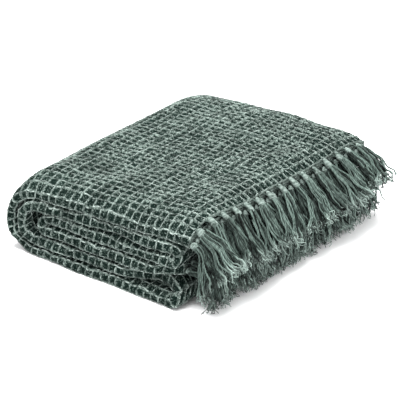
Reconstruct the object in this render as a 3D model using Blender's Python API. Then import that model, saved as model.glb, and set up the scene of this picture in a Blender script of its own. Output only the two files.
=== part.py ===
"""A fringed cotton throw, folded into a pile and lying flat.

The throw is one woven sheet. It is folded in four across its width, which makes a long strip of four sheets.
The strip is then folded in three along its length and doubled over, so six layers of it lie in the pile.
Both fringed ends come out on the same side: one from the top layer, one from the middle of the pile.

The sheet is built as a section swept along a path. The section is the four sheets of the strip, seen end on.
The path is the line that the strip follows from its top end, round every fold, to its inner end.
X runs towards the fringe, Y away from the near folds, Z up. The origin is on the floor, under the middle.
"""

import bpy
import bmesh
from math import cos, exp, pi, radians, sin
from mathutils import Vector

# The cloth as it was woven
CLOTH_WIDTH = 1.30
CLOTH_LENGTH = 1.41
SHEET = 0.0030
SHEET_GAP = 0.0007

# The strip of four sheets, and the six layers of it in the pile
SHEET_PITCH = SHEET + SHEET_GAP
STRIP = 4 * SHEET + 3 * SHEET_GAP
LAYER_GAP = 0.0015
LAYER_PITCH = STRIP + LAYER_GAP
LAYERS = 6
OUTER_UP = (1, 3, 5)
PILE_HEIGHT = LAYERS * STRIP + (LAYERS - 1) * LAYER_GAP

# The folds across the strip
OUTER_FOLD = 1.5 * SHEET_PITCH
INNER_FOLD = 0.5 * SHEET_PITCH
NEAR_FOLD_Y = OUTER_FOLD + SHEET / 2
SELVEDGE_INSET = 0.002
FOLD_ARCS = pi * (OUTER_FOLD + 2 * INNER_FOLD)
PILE_DEPTH = (
    CLOTH_WIDTH - FOLD_ARCS + 4 * NEAR_FOLD_Y + 2 * (INNER_FOLD + SHEET / 2) + 2 * SELVEDGE_INSET
) / 4
FAR_FOLD_Y = PILE_DEPTH - INNER_FOLD - SHEET / 2
SELVEDGE_Y = PILE_DEPTH - SELVEDGE_INSET

# The folds along the strip, as the places of their centres. The bends on the left nest in each other
OUTER_BEND = 2.5 * LAYER_PITCH
SECOND_BEND = 1.5 * LAYER_PITCH
SINGLE_BEND = 0.5 * LAYER_PITCH
LEFT_BEND_X = OUTER_BEND + STRIP / 2
INNER_BEND_SHIFT = 0.014
LOW_FOLD_BACK = 0.003
HIGH_FOLD_BACK = 0.006
INNER_END_BACK = 0.013
HEADING = 0.006
HEADING_GAP = 0.0003

# How much of the strip lies straight, which sets the pile's length
BEND_ARCS = pi * (OUTER_BEND + SECOND_BEND + 3 * SINGLE_BEND)
FOLD_REACH = SINGLE_BEND + STRIP / 2
END_X = LEFT_BEND_X + (
    CLOTH_LENGTH - BEND_ARCS
    + 2 * (LOW_FOLD_BACK + FOLD_REACH)
    + 2 * (HIGH_FOLD_BACK + FOLD_REACH)
    + 2 * INNER_BEND_SHIFT
    + INNER_END_BACK
) / LAYERS

# How the pile has settled, as shares of its height and as shifts
RISE_TO_FRINGE = 0.05
LEFT_SAG = 0.07
LEFT_SAG_FADE = 4
RIPPLE = 0.012
RIPPLE_TURN = 7.0
RIPPLE_START = 1.1
LEAN_BACK = 0.014
LEAN_AT_LEFT = 0.55
LEAN_FADE = 0.6
FLARE = 0.006
SKEW = 0.004
END_DROOP_LENGTH = 0.036
DROOP_START_X = END_X + HEADING - END_DROOP_LENGTH

# The same across the pile: share of its depth, share of the height lost there, size of the ripple,
# and share of the height lost at the end by the fringe, where the upper layers droop
ACROSS = (
    (0.00, 0.150, 0.4, 0.020),
    (0.06, 0.030, 0.6, 0.030),
    (0.12, 0.000, 0.8, 0.060),
    (0.45, 0.000, 0.5, 0.150),
    (0.86, 0.000, -1.0, 0.130),
    (0.94, 0.044, -0.9, 0.100),
    (1.00, 0.130, -0.8, 0.070),
)

# Where the middle of the settled throw with its fringe is, as it is first laid out
MIDDLE_X = 0.15421
MIDDLE_Y = 0.16363

# The fringe: knotted locks of warp ends at each end of the throw, in four rows that hang on two levels
LOCKS_IN_ROW = 15
LOCK_PITCH = 0.0210
FIRST_LOCK_Y = 0.0116
ROOT_HALF = 0.0030
LEVEL_OFFSET = 0.0034
LEVEL_RATE = 4
TIP_HALF = 0.0029

# How the locks differ along the fringe: sizes, and how fast each changes from one lock to the next
LOCK_SWAY = 0.0008
SWAY_TURN = 0.8
TAIL_LONGER = 0.0025
TAIL_TURN = 1.7
FAR_SHORTER = 0.009
FAR_ARCHES = (-27, 48)
FAR_START = 0.80
BEND_TURN = 2.4

# Where each straight of the path has its stations, closer by the fringe where the pile droops
STRAIGHT_STATIONS = (
    LEFT_BEND_X + (DROOP_START_X - LEFT_BEND_X) / 3,
    LEFT_BEND_X + (DROOP_START_X - LEFT_BEND_X) * 2 / 3,
    DROOP_START_X,
    END_X - 0.014,
)
STATION_MARGIN = 0.004

THROW_GREEN = (0.135, 0.185, 0.160, 1.0)
FRINGE_GREEN = (0.165, 0.220, 0.195, 1.0)


def clear_scene():
    for thing in list(bpy.data.objects):
        bpy.data.objects.remove(thing, do_unlink=True)


def cloth_material(name, colour):
    material = bpy.data.materials.new(name)
    material.use_nodes = True
    shader = material.node_tree.nodes["Principled BSDF"]
    shader.inputs["Base Color"].default_value = colour
    shader.inputs["Roughness"].default_value = 0.9
    shader.inputs["Metallic"].default_value = 0.0
    return material


def layer_height(layer):
    """Height of a layer's middle. Layer 1 is on top and layer 6 lies on the floor."""
    return STRIP / 2 + (LAYERS - layer) * LAYER_PITCH


def arc(centre_x, centre_z, radius, start, turn, steps):
    """Points round a bend with their outward direction, without the first one."""
    points = []
    for step in range(1, steps + 1):
        angle = radians(start + turn * step / steps)
        out = (cos(angle), sin(angle))
        points.append((centre_x + radius * out[0], centre_z + radius * out[1], out))
    return points


def strip_path():
    """The line that the strip follows: rows of x, z and the direction in which its outer sheet faces."""
    low_fold_x = END_X - LOW_FOLD_BACK - FOLD_REACH
    high_fold_x = END_X - HIGH_FOLD_BACK - FOLD_REACH
    inner_bend_x = LEFT_BEND_X + INNER_BEND_SHIFT
    inner_end_x = END_X - INNER_END_BACK
    # from_x, to_x, layer, then the bend after it: radius, angle at its start, how far it turns, steps
    runs = (
        (END_X, LEFT_BEND_X, 1, OUTER_BEND, 90, 180, 8),
        (LEFT_BEND_X, low_fold_x, 6, SINGLE_BEND, -90, 180, 4),
        (low_fold_x, LEFT_BEND_X, 5, SECOND_BEND, -90, -180, 6),
        (LEFT_BEND_X, high_fold_x, 2, SINGLE_BEND, 90, -180, 4),
        (high_fold_x, inner_bend_x, 3, SINGLE_BEND, 90, 180, 4),
        (inner_bend_x, inner_end_x, 4, 0, 0, 0, 0),
    )
    path = []
    for from_x, to_x, layer, radius, start, turn, steps in runs:
        height = layer_height(layer)
        facing = (0.0, 1.0 if layer in OUTER_UP else -1.0)
        low, high = sorted((from_x, to_x))
        between = [x for x in STRAIGHT_STATIONS if low + STATION_MARGIN < x < high - STATION_MARGIN]
        stops = between + [to_x] if from_x < to_x else between[::-1] + [to_x]
        if not path:
            stops.insert(0, from_x)
        path += [(x, height, facing) for x in stops]
        if steps:
            centre_z = height - radius if start > 0 else height + radius
            side = 1 if turn > 0 else -1
            for x, z, out in arc(to_x, centre_z, radius, start, turn, steps):
                path.append((x, z, (out[0] * side, out[1] * side)))
    return path


def run_between(from_y, to_y, offset, direction, roots):
    """A flat run of one sheet in the section: its points and the way their thickness goes."""
    near, far = min(from_y, to_y), max(from_y, to_y)
    if roots:
        inside = [y + side * ROOT_HALF for y in lock_places(offset) for side in (-1, 1)]
    else:
        inside = [share * PILE_DEPTH for share, *values in ACROSS[1:-1]]
    stops = [near] + inside + [far]
    if from_y > to_y:
        stops.reverse()
    return [(y, offset, (0.0, direction)) for y in stops]


def fold_between(centre_y, centre_offset, radius, start, turn, steps, side):
    """A fold of the section, without its two ends, which belong to the runs."""
    points = []
    for step in range(1, steps):
        angle = radians(start + turn * step / steps)
        out = (cos(angle), sin(angle))
        place = (centre_y + radius * out[0], centre_offset + radius * out[1])
        points.append((*place, (out[0] * side, out[1] * side)))
    return points


def strip_section(roots=False):
    """The four sheets of the strip seen end on: rows of y, offset from the path, and thickness direction.

    With roots, the flat runs have a point at each side of every lock of the fringe instead of their own.
    """
    outer, inner = OUTER_FOLD, INNER_FOLD
    return (
        run_between(SELVEDGE_Y, NEAR_FOLD_Y, outer, 1, roots)
        + fold_between(NEAR_FOLD_Y, 0, outer, 90, 180, 5, 1)
        + run_between(NEAR_FOLD_Y, FAR_FOLD_Y, -outer, -1, roots)
        + fold_between(FAR_FOLD_Y, -SHEET_PITCH, inner, -90, 180, 3, 1)
        + run_between(FAR_FOLD_Y, NEAR_FOLD_Y, -inner, 1, roots)
        + fold_between(NEAR_FOLD_Y, 0, inner, -90, -180, 3, -1)
        + run_between(NEAR_FOLD_Y, SELVEDGE_Y, inner, -1, roots)
    )


def settled_across(across):
    """The height lost, the size of the ripple and the droop, straight between the rows of the table."""
    across = min(max(across, 0.0), 1.0)
    for (share, *values), (next_share, *next_values) in zip(ACROSS, ACROSS[1:]):
        if across <= next_share:
            part = (across - share) / (next_share - share)
            return [value + (following - value) * part for value, following in zip(values, next_values)]


def settle(x, y, z):
    """Moves a point of the ideal pile to where it lies once the cloth has settled."""
    along = x / END_X
    across = y / PILE_DEPTH
    up = z / PILE_HEIGHT
    lost, ripple, droop = settled_across(across)
    to_end = min(max((x - DROOP_START_X) / END_DROOP_LENGTH, 0.0), 1.0)
    height = 1 + RISE_TO_FRINGE * along - LEFT_SAG * exp(-LEFT_SAG_FADE * along) - lost
    height += RIPPLE * ripple * sin(RIPPLE_TURN * along + RIPPLE_START) - droop * to_end ** 2
    lean = LEAN_BACK * (LEAN_AT_LEFT + (1 - LEAN_AT_LEFT) * along) * (1 - LEAN_FADE * across)
    flare = FLARE * min(along, 1.0) ** 2 * (1 - across)
    settled_y = y + lean * up - flare * (1 - up)
    settled_x = x + SKEW * (across - 0.5) * along
    return (settled_x - MIDDLE_X, settled_y - MIDDLE_Y, z * height)


# Places where the near edge of one layer is drawn in, so that a hollow shows between its neighbours
# layer, middle of the hollow as a share of the pile's length, half its length, and how far in it goes
DRAWN_IN = (
    (5, 0.84, 0.11, 0.017),
    (4, 1.00, 0.12, 0.018),
    (3, 0.30, 0.12, 0.004),
    (2, 0.62, 0.16, 0.003),
)


def drawn_in(x, z):
    """How far the near edge is drawn in at a place on the path."""
    total = 0.0
    for layer, middle, half, depth in DRAWN_IN:
        if abs(z - layer_height(layer)) < LAYER_PITCH / 4:
            total += depth * exp(-((x / END_X - middle) / half) ** 2)
    return total


def place(station, y, offset):
    """Where a point of the section lies at one station of the path."""
    x, z, facing = station
    drawn_y = y + drawn_in(x, z) * (1 - y / PILE_DEPTH) ** 2
    return settle(x + facing[0] * offset, drawn_y, z + facing[1] * offset)


def add_ring(mesh, station, section):
    """One cross-section of the sheet as a closed ring: its outer side, then its inner side going back."""
    half = SHEET / 2
    outer = [(y + way_y * half, offset + way * half) for y, offset, (way_y, way) in section]
    inner = [(y - way_y * half, offset - way * half) for y, offset, (way_y, way) in section]
    return [mesh.verts.new(place(station, *point)) for point in outer + inner[::-1]]


def join_rings(mesh, ring, following):
    count = len(ring)
    for i in range(count):
        k = (i + 1) % count
        mesh.faces.new((ring[i], ring[k], following[k], following[i]))


def rungs(ring):
    """The faces that close the end of a sheet, each across its thickness."""
    last = len(ring) - 1
    return [(ring[i], ring[i + 1], ring[last - i - 1], ring[last - i]) for i in range(len(ring) // 2 - 1)]


def finish(mesh, name, material):
    """Turns the bmesh into an object whose faces point out."""
    bmesh.ops.recalc_face_normals(mesh, faces=mesh.faces)
    data = bpy.data.meshes.new(name)
    mesh.to_mesh(data)
    mesh.free()
    data.materials.append(material)
    thing = bpy.data.objects.new(name, data)
    bpy.context.scene.collection.objects.link(thing)
    data.shade_smooth()
    data.set_sharp_from_angle(angle=radians(40))
    return thing


def make_cloth(material):
    """The woven throw, as one closed sheet."""
    mesh = bmesh.new()
    section = strip_section()
    rings = [add_ring(mesh, station, section) for station in strip_path()]
    for ring, following in zip(rings, rings[1:]):
        join_rings(mesh, ring, following)
    for corners in rungs(rings[0]) + rungs(rings[-1]):
        mesh.faces.new(corners)
    return finish(mesh, "throw_cloth", material)


def lock_places(offset):
    """The places along the fold of the locks that hang from the sheet at this offset.

    Every other sheet has its locks half a pitch on, so they hang between those of its neighbour.
    """
    on_half = round(offset / INNER_FOLD) in (1, -3)
    first = FIRST_LOCK_Y + (LOCK_PITCH / 2 if on_half else 0)
    return [first + LOCK_PITCH * i for i in range(LOCKS_IN_ROW)]


# A lock from its knot to its tip: share of its length, half width, half thickness
LOCK_SHAPE = (
    (0.07, 0.0036, 0.0024),
    (0.14, 0.0041, 0.0030),
    (0.26, 0.0029, 0.0025),
    (0.44, 0.0035, 0.0027),
    (0.62, 0.0040, 0.0028),
    (0.80, 0.0043, TIP_HALF),
    (1.00, 0.0044, TIP_HALF),
)

# The line of a lock from its root, as lengths and how far each turns down, in degrees
TOP_UPPER_LINE = ((0.004, 30), (0.036, 32), (0.018, 0))
TOP_LOWER_LINE = ((0.004, 38), (0.036, 26), (0.018, 0))
TOP_FOLD_LINE = ((0.003, 20), (0.012, 58), (0.058, 0))
# The low locks run out over the fold below them, hang down from there and end in a foot on the floor
LOW_OUT = 0.018
LOW_TURN = 78
LOW_TURN_RADIUS = 0.014
LOW_FOOT_RADIUS = 0.006
LOW_FOOT = 0.003
LOW_DROP = layer_height(4) - LEVEL_OFFSET - TIP_HALF
LOW_HANG = (
    LOW_DROP - (LOW_TURN_RADIUS + LOW_FOOT_RADIUS) * (1 - cos(radians(LOW_TURN)))
) / sin(radians(LOW_TURN))
LOW_LINE = (
    (LOW_OUT, 0),
    (LOW_TURN_RADIUS * radians(LOW_TURN), LOW_TURN),
    (LOW_HANG, 0),
    (LOW_FOOT_RADIUS * radians(LOW_TURN), -LOW_TURN),
    (LOW_FOOT, 0),
)

# The two fringes: name, layer of the pile, where the cloth ends, the lines of the locks in its upper rows,
# in its lower rows and on its near fold, and how far the bends of the locks vary, in degrees
FRINGES = (
    ("fringe_top_end", 1, END_X, (TOP_UPPER_LINE, TOP_LOWER_LINE, TOP_FOLD_LINE), 3),
    ("fringe_low_end", 4, END_X - INNER_END_BACK, (LOW_LINE, LOW_LINE, LOW_LINE), 0),
)


def follow(line, share):
    """The point at a share of a lock's line, from its root, and the direction of the line there."""
    left = share * sum(length for length, turn in line)
    spot = Vector((0.0, 0.0))
    angle = 0.0
    for length, turn in line:
        step = min(left, length)
        turned = radians(turn) * step / length
        if turned:
            radius = length / radians(turn)
            spot.x += radius * (sin(angle + turned) - sin(angle))
            spot.y -= radius * (cos(angle) - cos(angle + turned))
        else:
            spot += Vector((cos(angle), -sin(angle))) * step
        angle += turned
        left -= step
    return spot, Vector((cos(angle), -sin(angle)))


def varied(line, y, bend_spread):
    """A lock's line as it differs along the fringe, in its bends and in the length of its last straight."""
    slot = y / LOCK_PITCH
    far = max(y / PILE_DEPTH - FAR_START, 0) / (1 - FAR_START)
    spread = bend_spread * sin(BEND_TURN * slot)
    longer = TAIL_LONGER * sin(TAIL_TURN * slot + 1) - FAR_SHORTER * far
    arches = FAR_ARCHES if line[0][1] else (0,) * len(line)
    turned = tuple(
        (length, turn + spread + arch * far if turn else 0)
        for (length, turn), arch in zip(line[:-1], arches)
    )
    return turned + ((line[-1][0] + longer, 0),)


def grow_lock(mesh, root, start, line, y, rise):
    """Grows a lock out of its root face, whose corners are the first ring of its skin."""
    sway = LOCK_SWAY * sin(SWAY_TURN * y / LOCK_PITCH)
    level = LEVEL_OFFSET if rise > 0 else -LEVEL_OFFSET
    drawn = drawn_in(start.x, start.y) * (1 - y / PILE_DEPTH) ** 2
    ring = [corner["vert"] for corner in root]
    for share, half_width, half_thickness in LOCK_SHAPE:
        spot, way = follow(line, share)
        up = Vector((-way.y, way.x))
        middle = start + spot + up * (rise + (level - rise) * min(1, share * LEVEL_RATE))
        following = []
        for corner in root:
            side = 1 if corner["y"] > y else -1
            over = 1 if corner["z"] > rise else -1
            edge = middle + up * over * half_thickness
            lock_y = y + side * half_width + sway * share ** 2 + drawn
            following.append(mesh.verts.new(settle(edge.x, lock_y, edge.y)))
        join_rings(mesh, ring, following)
        ring = following
    mesh.faces.new(ring)


def make_fringe(fringe, material):
    """The last narrow strip of the cloth's end, folded as the cloth is, and the locks grown out of it."""
    name, layer, end_x, (upper_line, lower_line, fold_line), bend_spread = fringe
    facing = 1.0 if layer in OUTER_UP else -1.0
    start = Vector((end_x + HEADING, layer_height(layer)))
    mesh = bmesh.new()
    section = strip_section(roots=True)
    rings = [
        add_ring(mesh, (x, start.y, (0.0, facing)), section)
        for x in (end_x + HEADING_GAP, start.x)
    ]
    join_rings(mesh, *rings)
    for corners in rungs(rings[0]):
        mesh.faces.new(corners)
    for first, second, corners in zip(section, section[1:], rungs(rings[1])):
        y = (first[0] + second[0]) / 2
        rise = facing * (first[1] + second[1]) / 2
        in_row = first[1] == second[1] and any(abs(y - spot) < HEADING_GAP for spot in lock_places(first[1]))
        on_fold = max(first[0], second[0]) < SHEET
        if not in_row and not on_fold:
            mesh.faces.new(corners)
            continue
        half = SHEET / 2
        sides = ((first, half), (second, half), (second, -half), (first, -half))
        root = [
            {"vert": vert, "y": spot[0] + spot[2][0] * out, "z": facing * (spot[1] + spot[2][1] * out)}
            for vert, (spot, out) in zip(corners, sides)
        ]
        if on_fold:
            y = sum(corner["y"] for corner in root) / len(root)
        row_line = upper_line if rise > 0 else lower_line
        grow_lock(mesh, root, start, varied(fold_line if on_fold else row_line, y, bend_spread), y, rise)
    return finish(mesh, name, material)


def main():
    clear_scene()
    make_cloth(cloth_material("throw_green", THROW_GREEN))
    fringe_green = cloth_material("fringe_green", FRINGE_GREEN)
    for fringe in FRINGES:
        make_fringe(fringe, fringe_green)


main()
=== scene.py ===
import random
from bisect import bisect_left
from math import cos, exp, floor, pi, radians, sin, sqrt

import bmesh
import bpy
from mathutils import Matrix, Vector, noise


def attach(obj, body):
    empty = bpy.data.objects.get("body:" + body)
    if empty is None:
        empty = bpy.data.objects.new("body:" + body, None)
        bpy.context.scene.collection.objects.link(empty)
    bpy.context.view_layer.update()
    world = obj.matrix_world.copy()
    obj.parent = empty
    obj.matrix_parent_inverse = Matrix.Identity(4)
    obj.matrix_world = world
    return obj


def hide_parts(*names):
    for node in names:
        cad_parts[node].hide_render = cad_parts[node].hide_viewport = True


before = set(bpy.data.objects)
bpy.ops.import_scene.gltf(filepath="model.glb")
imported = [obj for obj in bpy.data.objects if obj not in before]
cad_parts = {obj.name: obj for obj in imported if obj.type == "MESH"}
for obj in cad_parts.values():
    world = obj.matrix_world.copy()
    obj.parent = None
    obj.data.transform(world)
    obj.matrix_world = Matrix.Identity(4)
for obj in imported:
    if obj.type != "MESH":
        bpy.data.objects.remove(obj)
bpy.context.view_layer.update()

# the throw as it was woven, and how it is folded (metres)
throw = {
    "width": 1.30,
    "length": 1.41,
    "sheet": 0.0030,
    "sheetGap": 0.0007,
    "layerGap": 0.0015,
    "layers": 6,
    "selvedgeInset": 0.002,
    "innerBendShift": 0.014,
    "lowFoldBack": 0.003,
    "highFoldBack": 0.006,
    "innerEndBack": 0.013,
    "heading": 0.006,
}
sheetPitch = throw["sheet"] + throw["sheetGap"]
strip = 4 * throw["sheet"] + 3 * throw["sheetGap"]
layerPitch = strip + throw["layerGap"]
pileHeight = throw["layers"] * strip + (throw["layers"] - 1) * throw["layerGap"]
outerFold = 1.5 * sheetPitch
innerFold = 0.5 * sheetPitch
nearFoldY = outerFold + throw["sheet"] / 2
foldArcs = pi * (outerFold + 2 * innerFold)
pileDepth = (throw["width"] - foldArcs + 4 * nearFoldY + 2 * innerFold + throw["sheet"]
             + 2 * throw["selvedgeInset"]) / 4
farFoldY = pileDepth - innerFold - throw["sheet"] / 2
selvedgeY = pileDepth - throw["selvedgeInset"]
outerBend = 2.5 * layerPitch
secondBend = 1.5 * layerPitch
singleBend = 0.5 * layerPitch
leftBendX = outerBend + strip / 2
foldReach = singleBend + strip / 2
bendArcs = pi * (outerBend + secondBend + 3 * singleBend)
endX = leftBendX + (
    throw["length"] - bendArcs
    + 2 * (throw["lowFoldBack"] + foldReach)
    + 2 * (throw["highFoldBack"] + foldReach)
    + 2 * throw["innerBendShift"] + throw["innerEndBack"]
) / throw["layers"]

# how the pile has settled
settling = {
    "riseToFringe": 0.05, "leftSag": 0.07, "leftSagFade": 4,
    "ripple": 0.012, "rippleTurn": 7.0, "rippleStart": 1.1,
    "leanBack": 0.014, "leanAtLeft": 0.55, "leanFade": 0.6,
    "flare": 0.006, "skew": 0.004,
    "endDroopLength": 0.036,
    "middleX": 0.15421, "middleY": 0.16363,
    # soft unevenness from handling: its size, how far in from the near side the first kind reaches,
    # and its waves, each with its size, its turns per metre in two directions and its start
    "handling": 0.0011, "handlingReach": 0.05,
    "sideWaves": ((1.0, 38, 150, 0), (0.7, 83, -210, 2)),
    "topWaves": ((1.0, 41, 23, 0), (1.0, -17, 29, 1), (0.5, 90, -60, 0)),
    "floorGap": 0.0003, "pressed": 0.1,
}
droopStartX = endX + throw["heading"] - settling["endDroopLength"]
# share of the depth, height lost there, size of the ripple, droop at the end by the fringe
acrossPile = (
    (0.00, 0.150, 0.4, 0.020),
    (0.06, 0.030, 0.6, 0.030),
    (0.12, 0.000, 0.8, 0.060),
    (0.45, 0.000, 0.5, 0.150),
    (0.86, 0.000, -1.0, 0.130),
    (0.94, 0.044, -0.9, 0.100),
    (1.00, 0.130, -0.8, 0.070),
)
# layer, where its near edge is drawn in, half the length of the hollow, how far in
drawnInPlaces = (
    (5, 0.84, 0.11, 0.017),
    (4, 1.00, 0.12, 0.018),
    (3, 0.30, 0.12, 0.004),
    (2, 0.62, 0.16, 0.003),
)

# the cells of the weave
weave = {
    "cellAcross": 0.0086,
    "cellsAlong": 138,
    "pocket": 0.0026, "pocketLeast": 0.7, "pocketVaries": 0.5,
    "ridge": 0.00030,
    "ridgeHalf": 0.0025,
    # how far the cells wander, the share of that at the cloth's edges and how soon it is reached in full
    "wander": 0.0014, "wanderAtEdge": 0.4, "wanderFade": 0.02,
    # size of each wander, its scales along u and v, and a place in the noise
    "wanderU": ((1.0, 42, 36, 1.7), (0.9, 120, 105, 5.1)),
    "wanderV": ((1.0, 38, 41, 9.3), (0.9, 115, 110, 3.9)),
}
blockShares = (0.0, 0.17, 0.5, 0.83, 1.0)  # where the mesh has its lines inside one cell


def layerHeight(layer):
    return strip / 2 + (throw["layers"] - layer) * layerPitch


# a piece of a curve: ("run", from, to, normal) or ("bend", centre, radius, start, turn)
def pieceLength(piece):
    if piece[0] == "run":
        (a, b), (c, d) = piece[1], piece[2]
        return sqrt((c - a) ** 2 + (d - b) ** 2)
    return piece[2] * abs(radians(piece[4]))


def makeCurve(pieces):
    marks = [0.0]
    for piece in pieces:
        marks.append(marks[-1] + pieceLength(piece))
    return pieces, marks


# which stretch between two marks a place is in
def stretchAt(marks, place):
    return min(max(bisect_left(marks, place) - 1, 0), len(marks) - 2)


# The point and the outward normal at a distance along a curve.
def alongCurve(curve, distance):
    pieces, marks = curve
    distance = min(max(distance, 0.0), marks[-1])
    i = stretchAt(marks, distance)
    piece = pieces[i]
    share = (distance - marks[i]) / (marks[i + 1] - marks[i])
    if piece[0] == "run":
        (a, b), (c, d) = piece[1], piece[2]
        return a + (c - a) * share, b + (d - b) * share, piece[3][0], piece[3][1]
    angle = radians(piece[3] + piece[4] * share)
    side = 1 if piece[4] > 0 else -1
    ca, sa = cos(angle), sin(angle)
    return piece[1][0] + piece[2] * ca, piece[1][1] + piece[2] * sa, ca * side, sa * side


def stripSection():
    o, i, near, far, edge = outerFold, innerFold, nearFoldY, farFoldY, selvedgeY
    return makeCurve([
        ("run", (edge, o), (near, o), (0, 1)),
        ("bend", (near, 0), o, 90, 180),
        ("run", (near, -o), (far, -o), (0, -1)),
        ("bend", (far, -sheetPitch), i, -90, 180),
        ("run", (far, -i), (near, -i), (0, 1)),
        ("bend", (near, 0), i, -90, -180),
        ("run", (near, i), (edge, i), (0, -1)),
    ])


def stripPath():
    lowX = endX - throw["lowFoldBack"] - foldReach
    highX = endX - throw["highFoldBack"] - foldReach
    innerX = leftBendX + throw["innerBendShift"]
    h = layerHeight
    up, down = (0, 1), (0, -1)
    return makeCurve([
        ("run", (endX, h(1)), (leftBendX, h(1)), up),
        ("bend", (leftBendX, h(1) - outerBend), outerBend, 90, 180),
        ("run", (leftBendX, h(6)), (lowX, h(6)), down),
        ("bend", (lowX, h(6) + singleBend), singleBend, -90, 180),
        ("run", (lowX, h(5)), (leftBendX, h(5)), up),
        ("bend", (leftBendX, h(5) + secondBend), secondBend, -90, -180),
        ("run", (leftBendX, h(2)), (highX, h(2)), down),
        ("bend", (highX, h(2) - singleBend), singleBend, 90, -180),
        ("run", (highX, h(3)), (innerX, h(3)), up),
        ("bend", (innerX, h(3) - singleBend), singleBend, 90, 180),
        ("run", (innerX, h(4)), (endX - throw["innerEndBack"], h(4)), down),
    ])


section = stripSection()
path = stripPath()
uMarks, vMarks = section[1], path[1]
clothWide, clothLong = uMarks[-1], vMarks[-1]


# Evenly spaced samples of a table, rounded through its rows without overshooting them.
def softTable(rows, samples):
    def slope(i, k):
        return (rows[i + 1][k] - rows[i][k]) / (rows[i + 1][0] - rows[i][0])

    def tangent(i, k):
        if i == 0 or i == len(rows) - 1:
            return slope(min(i, len(rows) - 2), k)
        before, after = slope(i - 1, k), slope(i, k)
        return 2 * before * after / (before + after) if before * after > 0 else 0.0

    table, marks = [], [row[0] for row in rows]
    for n in range(samples + 1):
        share = n / samples
        i = stretchAt(marks, share)
        wide = rows[i + 1][0] - rows[i][0]
        t = (share - rows[i][0]) / wide
        values = []
        for k in range(1, len(rows[0])):
            a, b = rows[i][k], rows[i + 1][k]
            ta, tb = tangent(i, k) * wide, tangent(i + 1, k) * wide
            values.append(a * (1 + 2 * t) * (1 - t) ** 2 + ta * t * (1 - t) ** 2
                          + b * t * t * (3 - 2 * t) + tb * t * t * (t - 1))
        table.append(values)
    return table


acrossSamples = 240
acrossTable = softTable(acrossPile, acrossSamples)


def settledAcross(across):
    place = min(max(across, 0.0), 1.0) * acrossSamples
    i = min(int(place), acrossSamples - 1)
    part = place - i
    return [a + (b - a) * part for a, b in zip(acrossTable[i], acrossTable[i + 1])]


def handlingWave(row, a, b):
    size, turnsA, turnsB, start = row
    return size * sin(turnsA * a + turnsB * b + start)


def settle(x, y, z):
    s = settling
    along, across, up = x / endX, y / pileDepth, z / pileHeight
    lost, ripple, droop = settledAcross(across)
    toEnd = min(max((x - droopStartX) / s["endDroopLength"], 0.0), 1.0)
    height = 1 + s["riseToFringe"] * along - s["leftSag"] * exp(-s["leftSagFade"] * along) - lost
    height += s["ripple"] * ripple * sin(s["rippleTurn"] * along + s["rippleStart"]) - droop * toEnd ** 2
    lean = s["leanBack"] * (s["leanAtLeft"] + (1 - s["leanAtLeft"]) * along) * (1 - s["leanFade"] * across)
    flare = s["flare"] * min(along, 1.0) ** 2 * (1 - across)
    settledY = y + lean * up - flare * (1 - up)
    settledX = x + s["skew"] * (across - 0.5) * along
    # handling: slow bumps, smooth through the pile so that no sheet meets the next
    edge = exp(-y / s["handlingReach"])
    settledY += s["handling"] * edge * sum(handlingWave(row, x, z) for row in s["sideWaves"])
    first, second, third = (handlingWave(row, x, y) for row in s["topWaves"])
    bump = s["handling"] * up * (first * second + third)
    return Vector((settledX - s["middleX"], settledY - s["middleY"], z * height + bump))


# How far the cloth is drawn in at the hollows of the near side.
def drawnIn(x, y, z):
    total = 0.0
    for layer, middle, half, depth in drawnInPlaces:
        if abs(z - layerHeight(layer)) < layerPitch / 4:
            total += depth * exp(-((x / endX - middle) / half) ** 2)
    return total * (1 - y / pileDepth) ** 2


# The cells are a little uneven: the point moves along the cloth, and less so at its edges.
def wandered(u, v):
    fromEdge = min(u, v, clothWide - u, clothLong - v)
    size = weave["wander"] * min(1.0, weave["wanderAtEdge"] + fromEdge / weave["wanderFade"])
    du, dv = (sum(share * noise.noise((u * a, v * b, place)) for share, a, b, place in rows)
              for rows in (weave["wanderU"], weave["wanderV"]))
    return u + size * du, v + size * dv


# Where a point of the cloth lies: u across it, v along it, lift above its middle on its outer side.
def onCloth(u, v, lift=0.0):
    u, v = wandered(u, v)
    y, offset, wayY, wayOffset = alongCurve(section, u)
    x, z, faceX, faceZ = alongCurve(path, v)
    y += wayY * lift
    offset += wayOffset * lift
    y += drawnIn(x, y, z)
    place = settle(x + faceX * offset, y, z + faceZ * offset)
    gap = settling["floorGap"]
    if place.z < gap:
        place.z = gap + (place.z - gap) * settling["pressed"]  # pressed flat on the floor
    return place


# materials
# a shader group: an input without a value of its own is a coordinate, and all the others are numbers
def newGroup(name, inputs, outputs):
    group = bpy.data.node_groups.new(name, "ShaderNodeTree")
    for socketName, value in inputs.items():
        kind = "NodeSocketVector" if value is None else "NodeSocketFloat"
        socket = group.interface.new_socket(socketName, in_out="INPUT", socket_type=kind)
        if value is not None:
            socket.default_value = value
    for socketName in outputs:
        group.interface.new_socket(socketName, in_out="OUTPUT", socket_type="NodeSocketFloat")
    return group, group.nodes.new("NodeGroupInput").outputs, group.nodes.new("NodeGroupOutput").inputs


# a new node: each of its inputs is a number, a colour or the output of another node
def node(tree, kind, inputs={}, **settings):
    made = tree.nodes.new(kind)
    for key, value in settings.items():
        setattr(made, key, value)
    for key, value in inputs.items():
        if isinstance(value, bpy.types.NodeSocket):
            tree.links.new(value, made.inputs[key])
        else:
            made.inputs[key].default_value = (*value, 1.0) if isinstance(value, tuple) else value
    return made


def maths(tree, operation, a, b=0.5, clamp=False):
    return node(tree, "ShaderNodeMath", {0: a, 1: b}, operation=operation, use_clamp=clamp).outputs[0]


def plus(tree, a, b, clamp=False):
    return maths(tree, "ADD", a, b, clamp)


def minus(tree, a, b, clamp=False):
    return maths(tree, "SUBTRACT", a, b, clamp)


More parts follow.
